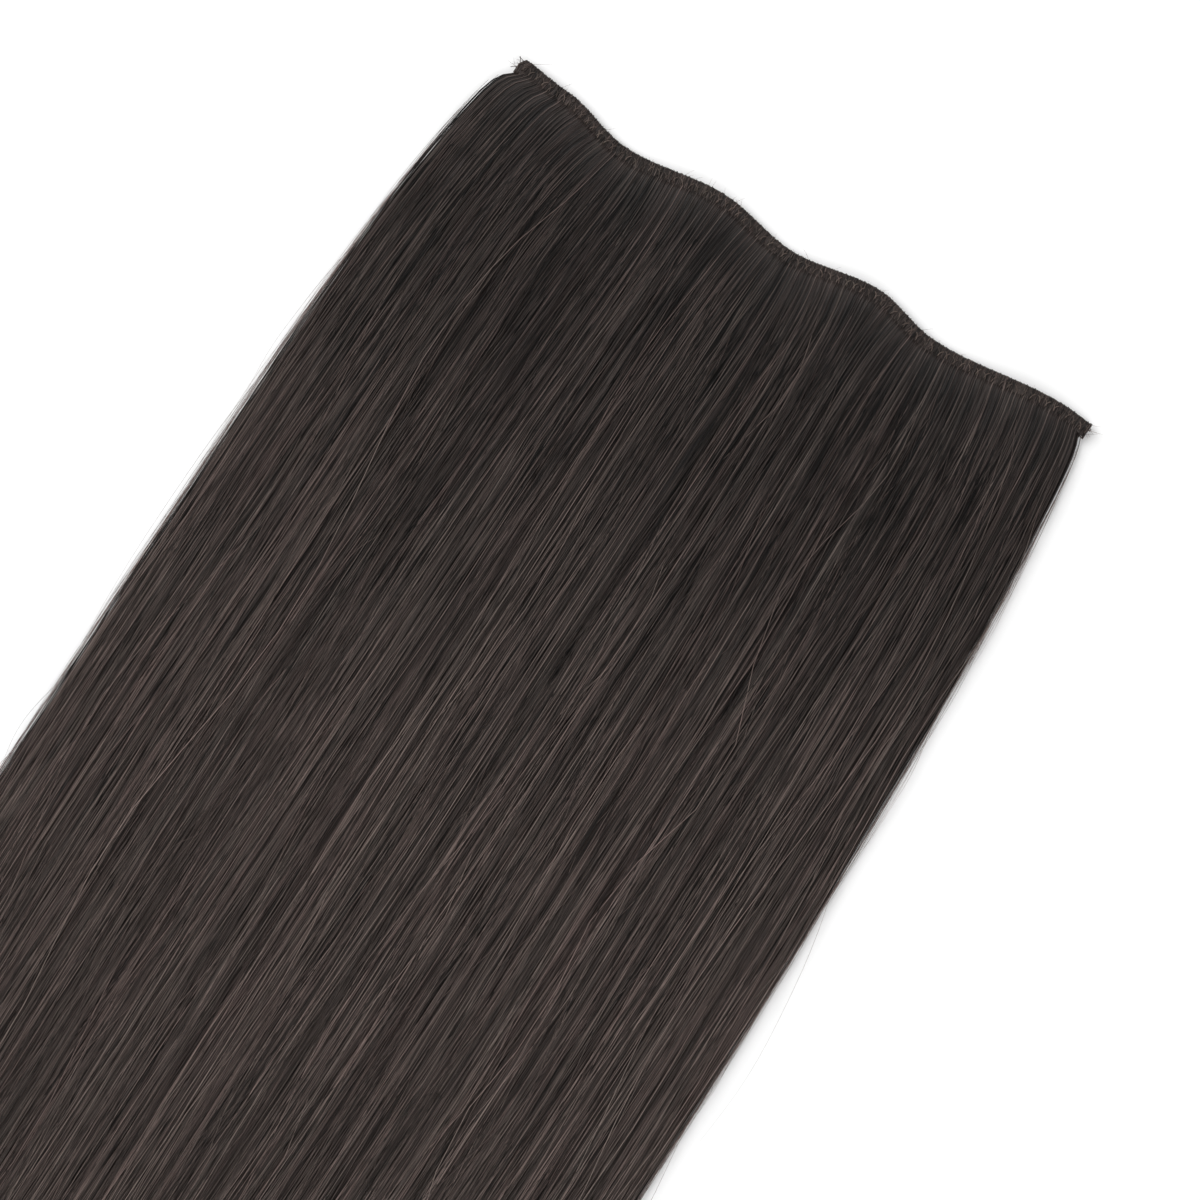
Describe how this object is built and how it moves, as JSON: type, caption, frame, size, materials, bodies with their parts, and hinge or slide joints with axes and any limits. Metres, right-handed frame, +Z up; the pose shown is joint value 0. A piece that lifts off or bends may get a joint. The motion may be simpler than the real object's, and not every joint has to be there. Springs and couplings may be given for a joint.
{
  "type": "clip-in hair extension",
  "caption": "Wide clip-in hair extension: long straight dark hair sewn to a folded band, with snap comb clips under the band.",
  "frame": {"origin": "on the surface that the extension lies on, in the middle of its outline", "axes": "+Z up from the surface, +Y from the hair's tips towards the sewn band, +X along the band to the right as seen from above"},
  "size_m": [0.2308, 0.5094, 0.0061],
  "materials": {
    "hair": "straight dark brown hair, satin sheen along the strands",
    "sewn_band": "folded hair sewn flat with dark thread, matt",
    "clip_metal": "dark brown lacquered spring steel, satin"
  },
  "bodies": {
    "root": {"hair_fall": "hair", "weft_band": "sewn_band", "clip_1": "clip_metal", "clip_2": "clip_metal", "clip_3": "clip_metal", "clip_4": "clip_metal"}
  },
  "joints": []
}
